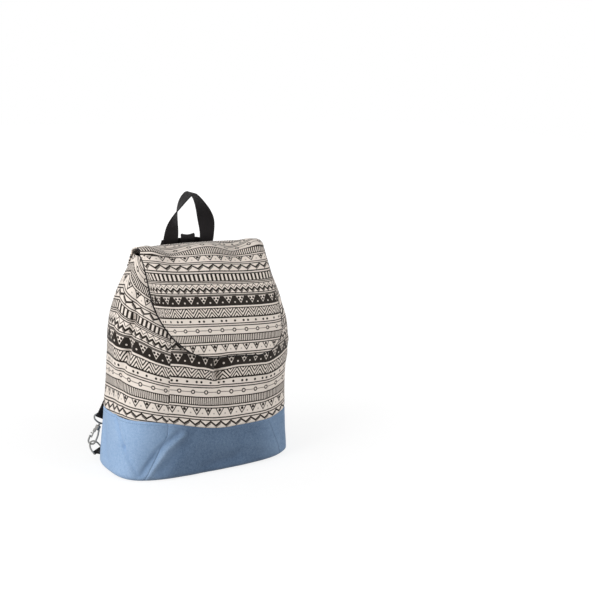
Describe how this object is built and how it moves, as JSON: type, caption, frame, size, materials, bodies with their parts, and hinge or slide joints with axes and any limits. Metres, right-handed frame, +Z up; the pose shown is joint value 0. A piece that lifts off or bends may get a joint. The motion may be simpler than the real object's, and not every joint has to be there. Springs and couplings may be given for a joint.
{
  "type": "backpack",
  "caption": "Soft canvas backpack with a band-patterned body and plain lower part, rounded flap, webbing grab handle and a hook-on strap carried on the back.",
  "frame": {"origin": "centre of the flat base, on the surface it stands on", "axes": "+Z up, -Y towards the flap's front, +X to the right for someone facing the front"},
  "size_m": [0.3418, 0.1868, 0.4721],
  "materials": {
    "printed_canvas": "matte cream canvas with a black geometric band print",
    "denim_canvas": "matte blue canvas",
    "black_webbing": "matte woven webbing",
    "nickel": "polished nickel plate"
  },
  "bodies": {
    "bag": {"front_panel": "printed_canvas", "back_panel": "printed_canvas", "left_side_panel": "printed_canvas", "right_side_panel": "printed_canvas", "flap": "printed_canvas", "bottom_panel": "denim_canvas", "base_front_panel": "denim_canvas", "base_back_panel": "denim_canvas", "base_left_side_panel": "denim_canvas", "base_right_side_panel": "denim_canvas", "mouth_tape": "black_webbing", "flap_piping": "black_webbing", "carry_handle": "black_webbing", "strap_loop_band": "black_webbing", "shoulder_strap": "black_webbing", "lower_tab_left": "black_webbing", "lower_tab_right": "black_webbing", "upper_tab_left": "black_webbing", "upper_tab_right": "black_webbing", "snap_socket": "nickel", "snap_stud": "nickel", "swivel_eye_left": "nickel", "swivel_eye_right": "nickel"},
    "lower_ring_left": {"lower_ring_left": "nickel"},
    "lower_ring_right": {"lower_ring_right": "nickel"},
    "upper_ring_left": {"upper_ring_left": "nickel"},
    "upper_ring_right": {"upper_ring_right": "nickel"},
    "hook_left": {"hook_body_left": "nickel"},
    "hook_right": {"hook_body_right": "nickel"},
    "gate_left": {"hook_gate_left": "nickel"},
    "gate_right": {"hook_gate_right": "nickel"},
    "slider": {"strap_slider": "nickel"}
  },
  "joints": [
    {"name": "lower_ring_left_swing", "type": "hinge", "parent": "bag", "child": "lower_ring_left", "pos_m": [-0.1538, 0.0764, 0.012], "axis": [0.8, 0.6, 0], "range_deg": [0, 12]},
    {"name": "upper_ring_left_swing", "type": "hinge", "parent": "bag", "child": "upper_ring_left", "pos_m": [-0.108, 0.01181, 0.347], "axis": [0, -1, 0], "range_deg": [-15, 60]},
    {"name": "hook_left_swivel", "type": "hinge", "parent": "bag", "child": "hook_left", "pos_m": [-0.14943, 0.08712, 0.05016], "axis": [0.4557, 0.0264, 0.8897], "range_deg": [-20, 20]},
    {"name": "gate_left_hinge", "type": "hinge", "parent": "hook_left", "child": "gate_left", "pos_m": [-0.15458, 0.08955, 0.04486], "axis": [-0.6776, -0.6379, 0.3659], "range_deg": [0, 22], "stiffness_Nm_per_rad": 0.05, "springref_deg": -20.05},
    {"name": "lower_ring_right_swing", "type": "hinge", "parent": "bag", "child": "lower_ring_right", "pos_m": [0.1538, 0.0764, 0.012], "axis": [0.8, -0.6, 0], "range_deg": [0, 12]},
    {"name": "upper_ring_right_swing", "type": "hinge", "parent": "bag", "child": "upper_ring_right", "pos_m": [0.108, 0.01181, 0.347], "axis": [0, 1, 0], "range_deg": [-15, 60]},
    {"name": "hook_right_swivel", "type": "hinge", "parent": "bag", "child": "hook_right", "pos_m": [0.14943, 0.08712, 0.05016], "axis": [0.4557, -0.0264, -0.8897], "range_deg": [-20, 20]},
    {"name": "gate_right_hinge", "type": "hinge", "parent": "hook_right", "child": "gate_right", "pos_m": [0.15458, 0.08955, 0.04486], "axis": [-0.6776, 0.6379, -0.3659], "range_deg": [0, 22], "stiffness_Nm_per_rad": 0.05, "springref_deg": -20.05},
    {"name": "slider_slide", "type": "slide", "parent": "bag", "child": "slider", "axis": [-0.4557, 0.0264, 0.8897], "range_m": [-0.028, 0.055]}
  ]
}
